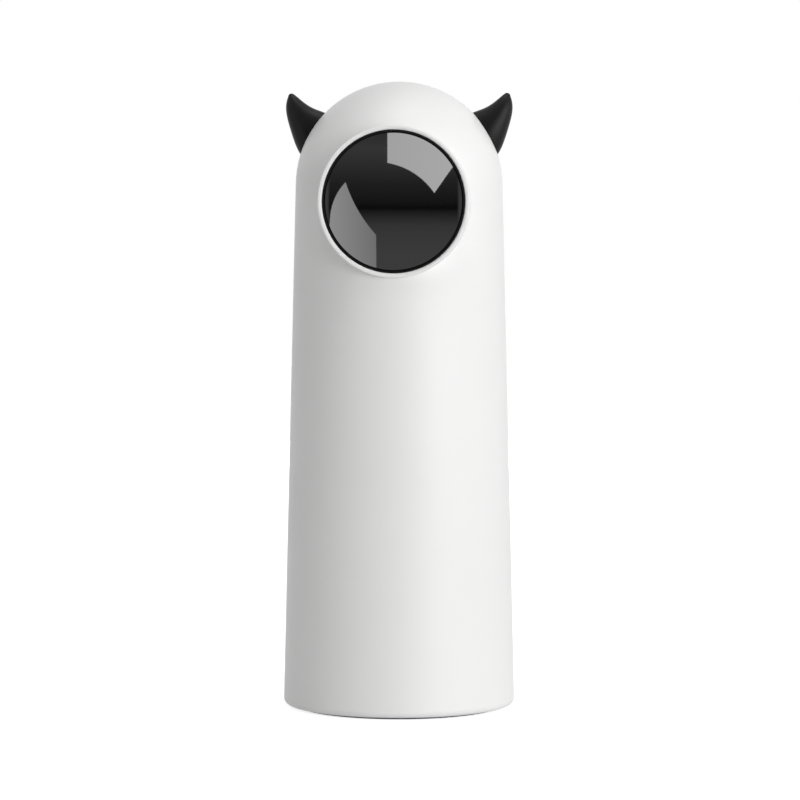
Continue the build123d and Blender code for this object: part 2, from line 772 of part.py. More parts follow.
# Chips on the board's rear face, and on its front face the sockets of the motors, the cell and the
# laser.
with BuildPart() as board_components:
    for width, height, depth, x, rise in rear_chips:
        with BuildSketch(rear_plane(board_back)):
            with Locations((x, board_low + rise)):
                Rectangle(width, height)
        extrude(amount=depth)
    with BuildSketch(rear_plane(board_back)):
        with Locations((0, light_height)):
            Rectangle(light_body[0], light_body[1])
    extrude(amount=light_body[2])
    with BuildSketch(rear_plane(board_front)):
        with Locations(*((x, board_low + socket_rise) for x in (-socket_pitch, 0, socket_pitch))):
            Rectangle(socket_size[0], socket_size[1])
    extrude(amount=-socket_size[2])
board_components.part.label = "board_components"
export_step(board_components.part, "parts/board_components.step")

usb_round = 0.49 * usb_thick

# Metal sleeve of the charging socket, standing on the board with its mouth in the rear wall.
with BuildPart() as usb_port:
    with BuildSketch(rear_plane(board_back)):
        with Locations((0, usb_height)):
            RectangleRounded(usb_width, usb_thick, usb_round)
    extrude(amount=usb_length)
    with BuildSketch(rear_plane(board_back)):
        with Locations((0, usb_height)):
            RectangleRounded(
                usb_width - 2 * usb_metal, usb_thick - 2 * usb_metal, usb_round - usb_metal
            )
    extrude(amount=usb_length, mode=Mode.SUBTRACT)
usb_port.part.label = "usb_port"
export_step(usb_port.part, "parts/usb_port.step")

# Moulded block inside the socket, with the tongue that carries the contacts.
with BuildPart() as usb_tongue:
    with BuildSketch(rear_plane(board_back)):
        with Locations((0, usb_height)):
            RectangleRounded(
                usb_width - 2 * usb_metal - 2 * fit_gap,
                usb_thick - 2 * usb_metal - 2 * fit_gap,
                usb_round - usb_metal - fit_gap,
            )
    extrude(amount=usb_length - usb_hollow)
    with BuildSketch(rear_plane(board_back)):
        with Locations((0, usb_height)):
            Rectangle(tongue_width, tongue_thick)
    extrude(amount=usb_length - usb_sunk)
usb_tongue.part.label = "usb_tongue"
export_step(usb_tongue.part, "parts/usb_tongue.step")

# Push switch soldered to the board behind the button.
plunger_foot = board_back + switch_depth - plunger_proud - button_travel
with BuildPart() as mode_switch:
    with BuildSketch(rear_plane(board_back)):
        with Locations((0, button_height)):
            RectangleRounded(switch_size, switch_size, switch_round)
    extrude(amount=switch_depth)
    with BuildSketch(rear_plane(plunger_foot - button_travel - free_gap)):
        with Locations((0, button_height)):
            Circle(plunger_radius + running_gap)
    extrude(amount=switch_depth, mode=Mode.SUBTRACT)
mode_switch.part.label = "mode_switch"
export_step(mode_switch.part, "parts/mode_switch.step")

plunger_top = board_back + switch_depth + plunger_proud
with BuildPart() as switch_plunger:
    with BuildSketch(rear_plane(plunger_foot)):
        with Locations((0, button_height)):
            Circle(plunger_radius)
    extrude(amount=plunger_top - plunger_foot)
switch_plunger.part.label = "switch_plunger"
export_step(switch_plunger.part, "parts/switch_plunger.step")

# Clear pipe from the board's light to the rear wall, with a collar behind the wall.
with BuildPart() as light_pipe:
    pipe_collar = 2 * light_radius
    collar_face = sqrt(side_radius(light_height + pipe_collar, wall) ** 2 - pipe_collar**2)
    with BuildSketch(rear_plane(board_back + light_body[2] + light_gap)):
        with Locations((0, light_height)):
            Circle(light_radius)
    extrude(amount=side_radius(light_height) - board_back - light_body[2] - light_gap)
    with BuildSketch(rear_plane(collar_face - running_gap)):
        with Locations((0, light_height)):
            Circle(pipe_collar)
    extrude(amount=-light_radius)
light_pipe.part.label = "light_pipe"
export_step(light_pipe.part, "parts/light_pipe.step")

# Button cap: a round face through the rear wall, a lip that keeps it in, and a stem that stands
# on the switch's plunger.
with BuildPart() as power_button:
    lip_radius = button_radius + button_lip
    lip_face = sqrt(side_radius(button_height + lip_radius, wall) ** 2 - lip_radius**2) - free_gap
    button_face = side_radius(button_height) + button_proud
    with BuildSketch(rear_plane(lip_face - button_lip_thickness)):
        with Locations((0, button_height)):
            Circle(lip_radius)
    extrude(amount=button_lip_thickness)
    with BuildSketch(rear_plane(lip_face)):
        with Locations((0, button_height)):
            Circle(button_radius)
    extrude(amount=button_face - lip_face)
    fillet(power_button.faces().sort_by(Axis.Y)[-1].edges(), button_proud)
    with Locations((0, button_face + dish_radius - dish_depth, button_height)):
        Sphere(dish_radius, mode=Mode.SUBTRACT)
    with BuildSketch(rear_plane(plunger_top)):
        with Locations((0, button_height)):
            Circle(plunger_radius)
    extrude(amount=lip_face - plunger_top)
power_button.part.label = "power_button"
export_step(power_button.part, "parts/power_button.step")

# --- Pan drive ----------------------------------------------------------------------------------

# Flanged bush in the deck, in which the yoke turns.
with BuildPart() as pan_bush:
    with BuildSketch(Plane.XY.offset(deck_boss_bottom)):
        Circle(bush_radius)
    extrude(amount=deck_top - deck_boss_bottom)
    with BuildSketch(Plane.XY.offset(deck_top)):
        Circle(bush_flange_radius)
    extrude(amount=bush_flange)
    with BuildSketch(Plane.XY.offset(deck_boss_bottom)):
        Circle(yoke_shaft_radius + running_gap)
    extrude(amount=bush_top - deck_boss_bottom, mode=Mode.SUBTRACT)
pan_bush.part.label = "pan_bush"
export_step(pan_bush.part, "parts/pan_bush.step")

clip_top = deck_boss_bottom - slide_gap
clip_radius = yoke_shaft_radius + clip_width
shaft_foot = clip_top - 2 * clip_thickness
motor_span = tilt_motor_level + tilt_can_radius - yoke_top

# Yoke: a plate on a hub and a shaft, with two arms that hold the laser's pivot between them.
# The right arm is wide enough at its foot for the tilt motor's flange.
with BuildPart() as pan_yoke:
    with BuildSketch(Plane.XY.offset(yoke_bottom)):
        Circle(arm_gap / 2 + arm_thickness + running_gap)
    extrude(amount=yoke_plate)
    with BuildSketch(Plane.XY.offset(hub_bottom)):
        Circle(yoke_hub_radius)
    extrude(amount=yoke_bottom - hub_bottom)
    with BuildSketch(Plane.XY.offset(shaft_foot)):
        Circle(yoke_shaft_radius)
    extrude(amount=hub_bottom - shaft_foot)
    with BuildSketch(Plane.XY.offset(clip_top - clip_thickness)):
        Circle(yoke_shaft_radius)
        Circle(yoke_shaft_radius - clip_groove, mode=Mode.SUBTRACT)
    extrude(amount=clip_thickness, mode=Mode.SUBTRACT)
    with BuildSketch(Plane.XY.offset(yoke_bottom)):
        with PolarLocations(peg_offset, 2):
            Circle(peg_radius)
    extrude(amount=-pan_gear_width)
    for side in (1, -1):
        foot_width = 2 * (tilt_ear_y + 2 * screw) if side == 1 else 2 * (arm_top_radius + wall)
        foot_rise = motor_span if side == 1 else yoke_plate
        inner = arm_gap / 2 if side == 1 else -arm_gap / 2 - arm_thickness
        with BuildSketch(Plane.YZ.offset(inner)):
            with Locations((0, yoke_top + foot_rise / 2)):
                Rectangle(foot_width, foot_rise)
            with Locations((0, window_height)):
                Circle(arm_top_radius)
            make_hull()
            with Locations((0, window_height)):
                Circle(pin_radius + running_gap, mode=Mode.SUBTRACT)
        extrude(amount=arm_thickness)
    with BuildSketch(Plane.YZ.offset(arm_gap / 2)):
        with Locations((0, tilt_motor_level)):
            Circle(tilt_can_radius / 2 + running_gap)
        with Locations((tilt_ear_y, tilt_motor_level), (-tilt_ear_y, tilt_motor_level)):
            Circle(small_screw + running_gap)
    extrude(amount=arm_thickness, mode=Mode.SUBTRACT)
pan_yoke.part.label = "pan_yoke"
export_step(pan_yoke.part, "parts/pan_yoke.step")

# Split ring in the shaft's groove, under the deck's boss.
with BuildPart() as pan_clip:
    with BuildSketch(Plane.XY.offset(clip_top - clip_thickness + running_gap)):
        Circle(clip_radius)
        Circle(yoke_shaft_radius - clip_groove + running_gap, mode=Mode.SUBTRACT)
        with Locations((0, clip_radius)):
            Rectangle(yoke_shaft_radius, 2 * clip_radius, mode=Mode.SUBTRACT)
    extrude(amount=clip_thickness - 2 * running_gap)
pan_clip.part.label = "pan_clip"
export_step(pan_clip.part, "parts/pan_clip.step")

# Gear under the yoke's plate, on its hub and driven by its two pegs.
with BuildPart() as pan_gear:
    with BuildSketch(Plane.XY.offset(gear_bottom)):
        gear_face(pan_gear_teeth, pan_module, -90)
        Circle(yoke_hub_radius + fit_gap, mode=Mode.SUBTRACT)
        with PolarLocations(peg_offset, 2):
            Circle(peg_radius + fit_gap, mode=Mode.SUBTRACT)
    extrude(amount=pan_gear_width)
pan_gear.part.label = "pan_gear"
export_step(pan_gear.part, "parts/pan_gear.step")

pan_pilot = chassis_wall / 2

# Pan motor, hung under the deck in front of the axis by its two ears.
with BuildPart() as pan_motor:
    with BuildSketch(Plane.XY.offset(deck_bottom)):
        with Locations((0, -pan_distance)):
            SlotOverall(2 * (pan_ear_x + 2 * screw), 4 * screw)
            Circle(pan_can_radius)
        with Locations(*((side * pan_ear_x, -pan_distance) for side in (1, -1))):
            Circle(screw + running_gap, mode=Mode.SUBTRACT)
    extrude(amount=-motor_flange)
    with BuildSketch(Plane.XY.offset(deck_bottom - motor_flange)):
        with Locations((0, -pan_distance)):
            Circle(pan_can_radius)
    extrude(amount=-pan_can_length)
    fillet(pan_motor.faces().sort_by(Axis.Z)[0].edges(), motor_flange)
    with BuildSketch(Plane.XY.offset(deck_bottom)):
        with Locations((0, -pan_distance)):
            Circle(yoke_shaft_radius)
    extrude(amount=pan_pilot)
    with BuildSketch(Plane.XY.offset(deck_bottom + pan_pilot)):
        with Locations((0, -pan_distance)):
            Circle(pan_shaft_radius + running_gap)
    extrude(amount=-pan_bore_depth, mode=Mode.SUBTRACT)
pan_motor.part.label = "pan_motor"
export_step(pan_motor.part, "parts/pan_motor.step")

with BuildPart() as pan_motor_screws:
    for side in (1, -1):
        with Locations((side * pan_ear_x, -pan_distance, deck_top)):
            pan_head_screw(screw, chassis_wall + 2 * motor_flange)
pan_motor_screws.part.label = "pan_motor_screws"
export_step(pan_motor_screws.part, "parts/pan_motor_screws.step")

pinion_bottom = gear_bottom - free_gap
pinion_top = gear_bottom + pan_gear_width - free_gap

with BuildPart() as pan_motor_shaft:
    with BuildSketch(Plane.XY.offset(deck_bottom + pan_pilot - pan_bore_depth + slide_gap)):
        with Locations((0, -pan_distance)):
            Circle(pan_shaft_radius)
    extrude(amount=pinion_top - deck_bottom - pan_pilot + pan_bore_depth - slide_gap)
pan_motor_shaft.part.label = "pan_motor_shaft"
export_step(pan_motor_shaft.part, "parts/pan_motor_shaft.step")

# Pinion on the pan motor's shaft. A gap between its teeth faces the gear's tooth.
with BuildPart() as pan_pinion:
    with BuildSketch(level_plane(pinion_bottom, -pan_distance)):
        gear_face(pan_pinion_teeth, pan_module, 90 + 180 / pan_pinion_teeth)
        Circle(pan_shaft_radius + fit_gap, mode=Mode.SUBTRACT)
    extrude(amount=pinion_top - pinion_bottom)
pan_pinion.part.label = "pan_pinion"
export_step(pan_pinion.part, "parts/pan_pinion.step")

# --- Leads --------------------------------------------------------------------------------------

socket_top = board_low + socket_rise + socket_size[1] / 2
socket_y = board_front - socket_size[2] / 2
motor_foot = deck_bottom - motor_flange - pan_can_length
cell_lead_y = cell_y + (cell_cap_radius + cell_radius) / 2
cell_lead_level = slot_level - cell_lead_drop
motor_lead_level = motor_foot - motor_lead_run


def bend_radii(route):
    """Arc for each corner of a route: as wide as 0.45 of its shorter run allows."""
    radii = []
    for before, corner, after in zip(route, route[1:], route[2:]):
        arriving, leaving = Vector(corner) - Vector(before), Vector(after) - Vector(corner)
        half_turn = radians(arriving.get_angle(leaving) / 2)
        radii.append(0.45 * min(arriving.length, leaving.length) / tan(half_turn))
    return radii


# The cell's two leads rise from its top, go back through the slot and down to the middle socket.
# The pan motor's come down to the same slot from above, and end in the socket beside it.
lead_routes = {
    "battery_leads": (
        (0, cell_lead_y, cell_top),
        (0, cell_lead_y, cell_lead_level),
        (0, socket_y, cell_lead_level),
        (0, socket_y, socket_top),
    ),
    "pan_motor_leads": (
        (motor_lead_x, -pan_distance, motor_foot),
        (motor_lead_x, -pan_distance, motor_lead_level),
        (-socket_pitch, cell_y, slot_level),
        (-socket_pitch, socket_y, slot_level),
        (-socket_pitch, socket_y, socket_top),
    ),
}
for name, route in lead_routes.items():
    radii = bend_radii(route)
    print(name, "bend radii", [round(radius, 1) for radius in radii])
    with BuildPart() as leads:
        for side in (1, -1):
            with BuildLine() as path:
                corners = [(x + side * lead_spread, y, level) for x, y, level in route]
                FilletPolyline(*corners, radius=radii)
            with BuildSketch(Plane(origin=path.line @ 0, z_dir=path.line % 0)):
                Circle(wire_radius)
            sweep(path=path.line)
    leads.part.label = name
    export_step(leads.part, f"parts/{name}.step")

# --- Tilt drive and laser -----------------------------------------------------------------------

arm_outer = arm_gap / 2 + arm_thickness
tilt_gear_inner = arm_outer + 2 * free_gap
tilt_gear_outer = tilt_gear_inner + tilt_gear_width
flange_inner = arm_gap / 2 - motor_flange

# Tilt motor, inside the right arm, its pilot through the arm.
with BuildPart() as tilt_motor:
    with BuildSketch(side_plane(flange_inner, tilt_motor_level)):
        SlotOverall(2 * (tilt_ear_y + 2 * small_screw), 4 * small_screw)
        Circle(tilt_can_radius)
        with Locations((tilt_ear_y, 0), (-tilt_ear_y, 0)):
            Circle(small_screw + running_gap, mode=Mode.SUBTRACT)
    extrude(amount=motor_flange)
    with BuildSketch(side_plane(flange_inner, tilt_motor_level)):
        Circle(tilt_can_radius)
    extrude(amount=-tilt_can_length)
    fillet(tilt_motor.faces().sort_by(Axis.X)[0].edges(), motor_flange)
    with BuildSketch(side_plane(arm_gap / 2, tilt_motor_level)):
        Circle(tilt_can_radius / 2)
    extrude(amount=arm_thickness / 2)
    with BuildSketch(side_plane((arm_gap + arm_thickness) / 2, tilt_motor_level)):
        Circle(tilt_shaft_radius + running_gap)
    extrude(amount=-tilt_bore_depth, mode=Mode.SUBTRACT)
tilt_motor.part.label = "tilt_motor"
export_step(tilt_motor.part, "parts/tilt_motor.step")

with BuildPart() as tilt_motor_screws:
    for side in (1, -1):
        seat = Plane(origin=(arm_outer, side * tilt_ear_y, tilt_motor_level), z_dir=(1, 0, 0))
        with Locations(seat):
            pan_head_screw(small_screw, arm_thickness + 2 * motor_flange)
tilt_motor_screws.part.label = "tilt_motor_screws"
export_step(tilt_motor_screws.part, "parts/tilt_motor_screws.step")

with BuildPart() as tilt_motor_shaft:
    shaft_start = (arm_gap + arm_thickness) / 2 - tilt_bore_depth + slide_gap
    with BuildSketch(side_plane(shaft_start, tilt_motor_level)):
        Circle(tilt_shaft_radius)
    extrude(amount=tilt_gear_outer - shaft_start)
tilt_motor_shaft.part.label = "tilt_motor_shaft"
export_step(tilt_motor_shaft.part, "parts/tilt_motor_shaft.step")

# Pinion outside the arm, with a gap between its teeth facing up to the gear.
with BuildPart() as tilt_pinion:
    with BuildSketch(side_plane(tilt_gear_inner, tilt_motor_level)):
        gear_face(tilt_pinion_teeth, tilt_module, 90 + 180 / tilt_pinion_teeth)
        Circle(tilt_shaft_radius + fit_gap, mode=Mode.SUBTRACT)
    extrude(amount=tilt_gear_width)
tilt_pinion.part.label = "tilt_pinion"
export_step(tilt_pinion.part, "parts/tilt_pinion.step")

# Gear on the cradle's right pin, lightened by a ring of holes.
with BuildPart() as tilt_gear:
    with BuildSketch(side_plane(tilt_gear_inner, window_height)):
        gear_face(tilt_gear_teeth, tilt_module, -90)
        Circle(pin_radius + fit_gap, mode=Mode.SUBTRACT)
        with PolarLocations((tilt_module * tilt_gear_teeth / 2 + pin_radius) / 2, gear_holes):
            Circle(gear_hole_radius, mode=Mode.SUBTRACT)
    extrude(amount=tilt_gear_width)
tilt_gear.part.label = "tilt_gear"
export_step(tilt_gear.part, "parts/tilt_gear.step")

# Cradle: a rounded block round the laser's barrel, with a hub on each side for its pivot pin.
with BuildPart() as laser_cradle:
    with BuildSketch(side_plane(-cradle_width / 2, window_height)):
        RectangleRounded(cradle_length, cradle_height, cradle_height / 6)
    extrude(amount=cradle_width)
    hub_span = arm_gap / 2 - slide_gap
    with BuildSketch(side_plane(-hub_span, window_height)):
        Circle(cradle_hub_radius)
    extrude(amount=2 * hub_span)
    with BuildSketch(side_plane(-hub_span, window_height)):
        Circle(pin_radius + fit_gap)
    extrude(amount=2 * hub_span, mode=Mode.SUBTRACT)
    with BuildSketch(window_plane(-cradle_length / 2)):
        Circle(barrel_radius + fit_gap)
    extrude(amount=cradle_length, mode=Mode.SUBTRACT)
    with BuildSketch(Plane.XY.offset(window_height)):
        Circle(small_screw + running_gap)
    extrude(amount=cradle_height / 2, mode=Mode.SUBTRACT)
laser_cradle.part.label = "laser_cradle"
export_step(laser_cradle.part, "parts/laser_cradle.step")

# Pivot pins: the right one is longer and carries the gear.
with BuildPart() as cradle_pins:
    pin_start = barrel_radius + 2 * free_gap
    for side, pin_end in ((1, tilt_gear_outer + free_gap), (-1, arm_outer + free_gap)):
        with BuildSketch(side_plane(side * pin_start, window_height)):
            Circle(pin_radius)
        extrude(amount=side * (pin_end - pin_start))
cradle_pins.part.label = "cradle_pins"
export_step(cradle_pins.part, "parts/cradle_pins.step")

barrel_back = barrel_nose - barrel_length

# Brass barrel of the laser diode, with a stepped nose and a bore for its lens.
with BuildPart() as laser_barrel:
    with BuildSketch(window_plane(barrel_back)):
        Circle(barrel_radius)
    extrude(amount=barrel_length - nose_length)
    with BuildSketch(window_plane(barrel_nose - nose_length)):
        Circle(nose_radius)
    extrude(amount=nose_length)
    with BuildSketch(window_plane(barrel_nose - lens_seat)):
        Circle(barrel_bore)
    extrude(amount=lens_seat, mode=Mode.SUBTRACT)
laser_barrel.part.label = "laser_barrel"
export_step(laser_barrel.part, "parts/laser_barrel.step")

with BuildPart() as laser_lens:
    with BuildSketch(window_plane(barrel_nose - lens_seat)):
        Circle(barrel_bore - fit_gap)
    extrude(amount=laser_lens_thickness)
laser_lens.part.label = "laser_lens"
export_step(laser_lens.part, "parts/laser_lens.step")

# Driver board soldered across the back of the barrel.
with BuildPart() as laser_board:
    with BuildSketch(window_plane(barrel_back)):
        RectangleRounded(laser_board_width, 2 * barrel_radius, laser_board_round)
    extrude(amount=-laser_board_thickness)
laser_board.part.label = "laser_board"
export_step(laser_board.part, "parts/laser_board.step")

# Grub screw that clamps the barrel in the cradle.
with BuildPart() as laser_screw:
    with BuildSketch(Plane.XY.offset(window_height + barrel_radius)):
        Circle(small_screw)
    extrude(amount=cradle_height / 2 - barrel_radius)
laser_screw.part.label = "laser_screw"
export_step(laser_screw.part, "parts/laser_screw.step")
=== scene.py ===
import bpy
import bmesh
from math import asin, cos, pi, radians, sin, sqrt
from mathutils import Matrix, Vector


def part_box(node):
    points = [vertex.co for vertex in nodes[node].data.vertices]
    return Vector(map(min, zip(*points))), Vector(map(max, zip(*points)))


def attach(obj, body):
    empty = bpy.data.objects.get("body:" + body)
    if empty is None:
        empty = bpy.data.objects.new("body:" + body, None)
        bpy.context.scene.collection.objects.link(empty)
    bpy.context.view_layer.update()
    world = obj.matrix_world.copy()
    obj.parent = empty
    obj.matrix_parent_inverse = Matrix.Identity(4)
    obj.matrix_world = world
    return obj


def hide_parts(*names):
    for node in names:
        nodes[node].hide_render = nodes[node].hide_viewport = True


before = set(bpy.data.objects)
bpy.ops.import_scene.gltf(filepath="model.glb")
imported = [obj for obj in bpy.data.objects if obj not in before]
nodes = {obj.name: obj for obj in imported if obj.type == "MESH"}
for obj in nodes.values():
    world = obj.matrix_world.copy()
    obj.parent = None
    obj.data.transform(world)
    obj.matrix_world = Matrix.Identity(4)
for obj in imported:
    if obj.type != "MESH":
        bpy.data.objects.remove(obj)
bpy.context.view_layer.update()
scene = bpy.context.scene


# --- Sleeve ---------------------------------------------------------------------------------------
# One injection moulding in white ABS, closed by the dome and open at the foot. Its mould is
# polished and then lightly blasted, which leaves a silky skin.

white_abs = (0.88, 0.88, 0.875)
noise_low, noise_high = 0.3, 0.7    # nearly all of a noise lies between these
tone_patch = 0.03                   # size of the places where a moulding is paler or darker
gloss_patch = 0.006                 # size of those where it is duller or glossier


def new_material(name):
    """A new material, its node tree and its shader."""
    material = bpy.data.materials.new(name)
    material.use_nodes = True
    tree = material.node_tree
    return material, tree, tree.nodes["Principled BSDF"]


def object_noise(tree, size, detail=3.0):
    """A noise over the piece whose blotches are about that size, in metres."""
    place = tree.nodes.new("ShaderNodeTexCoord")
    noise = tree.nodes.new("ShaderNodeTexNoise")
    noise.inputs["Scale"].default_value = 1 / size
    noise.inputs["Detail"].default_value = detail
    tree.links.new(place.outputs["Object"], noise.inputs["Vector"])
    return noise.outputs["Fac"]


def spread(tree, noise, low, high):
    """That noise, stretched to run from low to high."""
    scale = tree.nodes.new("ShaderNodeMapRange")
    scale.inputs["From Min"].default_value = noise_low
    scale.inputs["From Max"].default_value = noise_high
    scale.inputs["To Min"].default_value = low
    scale.inputs["To Max"].default_value = high
    tree.links.new(noise, scale.inputs["Value"])
    return scale.outputs["Result"]


def roughen(tree, shader, size, low, high):
    """Roughness that wanders from low to high, in blotches of that size."""
    tree.links.new(
        spread(tree, object_noise(tree, size), low, high), shader.inputs["Roughness"],
    )


def mottle(tree, shader, dark, light, size):
    """Base colour that wanders between two near tones."""
    blend = tree.nodes.new("ShaderNodeMix")
    blend.data_type = "RGBA"
    blend.inputs["A"].default_value = (*dark, 1)
    blend.inputs["B"].default_value = (*light, 1)
    tree.links.new(spread(tree, object_noise(tree, size), 0, 1), blend.inputs["Factor"])
    tree.links.new(blend.outputs["Result"], shader.inputs["Base Color"])


def grain(tree, shader, size, depth):
    """A fine skin of bumps of that size and depth, in metres."""
    bump = tree.nodes.new("ShaderNodeBump")
    bump.inputs["Distance"].default_value = depth
    bump.inputs["Strength"].default_value = 1.0
    tree.links.new(object_noise(tree, size, detail=1.0), bump.inputs["Height"])
    tree.links.new(bump.outputs["Normal"], shader.inputs["Normal"])


def moulded_plastic(name, tone, rough, skin=0.00025, relief=0.000004, drift=0.03, shine=0.5):
    """Plastic as it leaves the mould, with the lowest and highest roughness of its skin.

    The skin's grain has that size and relief, in metres, and drift is how far the tone wanders.
    """
    material, tree, shader = new_material(name)
    shader.inputs["Specular IOR Level"].default_value = shine
    mottle(tree, shader, [c * (1 - drift) for c in tone], tone, tone_patch)
    roughen(tree, shader, gloss_patch, *rough)
    grain(tree, shader, skin, relief)
    return material


def finish(material, *names):
    """Gives CAD nodes their material."""
    for name in names:
        nodes[name].data.materials.clear()
        nodes[name].data.materials.append(material)


sleeve_white = moulded_plastic("sleeve_white", white_abs, rough=(0.42, 0.5), drift=0.012)
finish(sleeve_white, "body_shell")


# --- Window ---------------------------------------------------------------------------------------
# A shallow dome of smoked acrylic, moulded in one with its flange and polished on both faces. It
# looks black and lets the beam out. A black ring clips over the flange, and foam lies behind it.

acrylic_bend = 1.49         # refractive index
window_face = 0.02165       # radius of the domed face
window_bulge = 0.0026       # crown of the dome in front of its edge
window_thick = 0.0014
window_curve = (window_face**2 + window_bulge**2) / (2 * window_bulge)
dome_steps = 40             # from the crown to the dome's edge
hollow_steps = 24           # from the hollow's edge to its middle
round_steps = 144           # once round the window
weld = 1e-7

smoked_window, tree, shader = new_material("smoked_window")
shader.inputs["Base Color"].default_value = (0.0012, 0.0012, 0.0014, 1)
shader.inputs["IOR"].default_value = acrylic_bend
roughen(tree, shader, size=0.012, low=0.015, high=0.03)


def swing(build, start, middle, angle, steps):
    """Draws an arc from that vertex about the upright line through middle; gives its far end."""
    arc = bmesh.ops.spin(
        build, geom=[start], cent=middle, axis=(0, 0, 1), angle=angle, steps=steps,
    )
    return next(part for part in arc["geom_last"] if isinstance(part, bmesh.types.BMVert))


def draw_on(build, start, place):
    """Draws a straight edge from that vertex to the place, and gives the new vertex."""
    new = bmesh.ops.extrude_vert_indiv(build, verts=[start])["verts"][0]
    new.co = place
    return new


def crease(build, limit=30):
    """Smooth shading, except over edges sharper than that many degrees."""
    for face in build.faces:
        face.smooth = True
    for edge in build.edges:
        edge.smooth = not edge.is_manifold or edge.calc_face_angle() < radians(limit)


def put_in_order(build):
    """Orders the mesh's parts by their place, because merging shuffles them on each run."""
    slant = Vector((1, sqrt(3), sqrt(5)))
    build.verts.sort(key=lambda vert: vert.co.dot(slant))
    build.edges.sort(key=lambda edge: (edge.verts[0].co + edge.verts[1].co).dot(slant))
    build.faces.sort(key=lambda face: face.calc_center_median().dot(slant))


def new_piece(name, build, material, body):
    """Turns the finished mesh into a piece that rides on that body."""
    bmesh.ops.remove_doubles(build, verts=build.verts, dist=weld)
    bmesh.ops.recalc_face_normals(build, faces=build.faces)
    crease(build)
    put_in_order(build)
    mesh = bpy.data.meshes.new(name)
    build.to_mesh(mesh)
    build.free()
    mesh.materials.append(material)
    piece = bpy.data.objects.new(name, mesh)
    scene.collection.objects.link(piece)
    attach(piece, body)
    return piece


# Half of the window's section, drawn from the crown over the edge and the flange to the middle of
# the hollow behind, and then turned about the window's axis.
lens_low, lens_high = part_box("lens")
window_middle = (lens_low.z + lens_high.z) / 2
flange_radius = (lens_high.x - lens_low.x) / 2
flange_front = lens_high.y - window_thick
hollow_radius = window_face - window_thick
hollow_depth = lens_high.y - lens_low.y - window_thick
hollow_curve = (hollow_radius**2 + hollow_depth**2) / (2 * hollow_depth)
ball_middle = Vector((0, lens_low.y + window_curve, window_middle))
hollow_middle = Vector((0, lens_low.y + window_thick + hollow_curve, window_middle))

build = bmesh.new()
crown = build.verts.new((0, lens_low.y, window_middle))
corner = swing(build, crown, ball_middle, asin(window_face / window_curve), dome_steps)
for across, back in (
    (window_face, flange_front), (flange_radius, flange_front),
    (flange_radius, lens_high.y), (hollow_radius, lens_high.y),
):
    corner = draw_on(build, corner, (across, back, window_middle))
swing(build, corner, hollow_middle, -asin(hollow_radius / hollow_curve), hollow_steps)
bmesh.ops.spin(
    build, geom=build.verts[:] + build.edges[:], cent=crown.co, axis=(0, 1, 0), angle=2 * pi,
    steps=round_steps, use_merge=True,
)
window = new_piece("smoked_window", build, smoked_window, "housing")
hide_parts("lens")

bezel_black = moulded_plastic(
    "bezel_black", (0.004, 0.004, 0.0045), rough=(0.12, 0.2), relief=0.000001,
)
finish(bezel_black, "lens_bezel")
foam_black = moulded_plastic(
    "foam_black", (0.02, 0.02, 0.02), rough=(0.85, 0.95), skin=0.0006, relief=0.0001,
)
finish(foam_black, "lens_gasket")


# --- Horns ----------------------------------------------------------------------------------------
# Two solid mouldings in black ABS with a satin skin. Each has a peg in the dome's wall, and a screw
# from inside pulls its root on to the dome.

horn_black = moulded_plastic(
    "horn_black", (0.0055, 0.0055, 0.0058), rough=(0.34, 0.42), relief=0.000003, shine=0.17,
)
finish(horn_black, "left_horn", "right_horn")


# --- Fasteners ------------------------------------------------------------------------------------
# Zinc-plated steel screws with pan heads hold the horns, the base plate, the chassis, the cell's
# clamp, the board and both motors. A grub screw clamps the laser's barrel.

def metal(name, tone, rough, grain_size=0.0004, shade=0.9, shade_size=0.002):
    """Metal whose plating or turning marks vary its tone and its roughness."""
    material, tree, shader = new_material(name)
    shader.inputs["Metallic"].default_value = 1.0
    mottle(tree, shader, [c * shade for c in tone], tone, shade_size)
    roughen(tree, shader, grain_size, *rough)
    return material


zinc = metal("zinc", (0.62, 0.63, 0.65), rough=(0.25, 0.4))
finish(
    zinc, "horn_screws", "base_screws", "chassis_screws", "clamp_screws", "board_screws",
    "pan_motor_screws", "tilt_motor_screws", "laser_screw",
)


# --- Base -----------------------------------------------------------------------------------------
# A plate moulded in white ABS and screwed up into the sleeve closes the foot. The toy stands on a
# soft grey ring of TPE, which is stuck in a groove under the plate, over the screws' heads.

base_white = moulded_plastic(
    "base_white", (0.8, 0.8, 0.79), rough=(0.5, 0.6), skin=0.0005, relief=0.00002,
)
finish(base_white, "base_plate")
pad_grey = moulded_plastic(
    "pad_grey", (0.16, 0.16, 0.165), rough=(0.7, 0.85), skin=0.0004, relief=0.00003,
)
finish(pad_grey, "foot_pad")


# --- Chassis --------------------------------------------------------------------------------------
# A tower moulded in black ABS, screwed to the plate's stand-offs. The cell stands on its foot in a
# blue wrap, held by a black band, and red leads run through a slot in its spine.

chassis_black = moulded_plastic(
    "chassis_black", (0.03, 0.03, 0.032), rough=(0.5, 0.6), skin=0.0005, relief=0.00002,
)
finish(chassis_black, "chassis", "battery_clamp")
cell_wrap = moulded_plastic(
    "cell_wrap", (0.05, 0.16, 0.34), rough=(0.2, 0.3), skin=0.002, relief=0.00001,
)
finish(cell_wrap, "battery_cell")
wire_red = moulded_plastic(
    "wire_red", (0.42, 0.02, 0.015), rough=(0.35, 0.45), skin=0.0005, relief=0.00001,
)
finish(wire_red, "battery_leads", "pan_motor_leads")


# --- Control board --------------------------------------------------------------------------------
# A green circuit board, screwed to posts behind the spine. It bears the chips, the charging socket,
# the push switch and a clear pipe that carries the board's light to the rear wall.

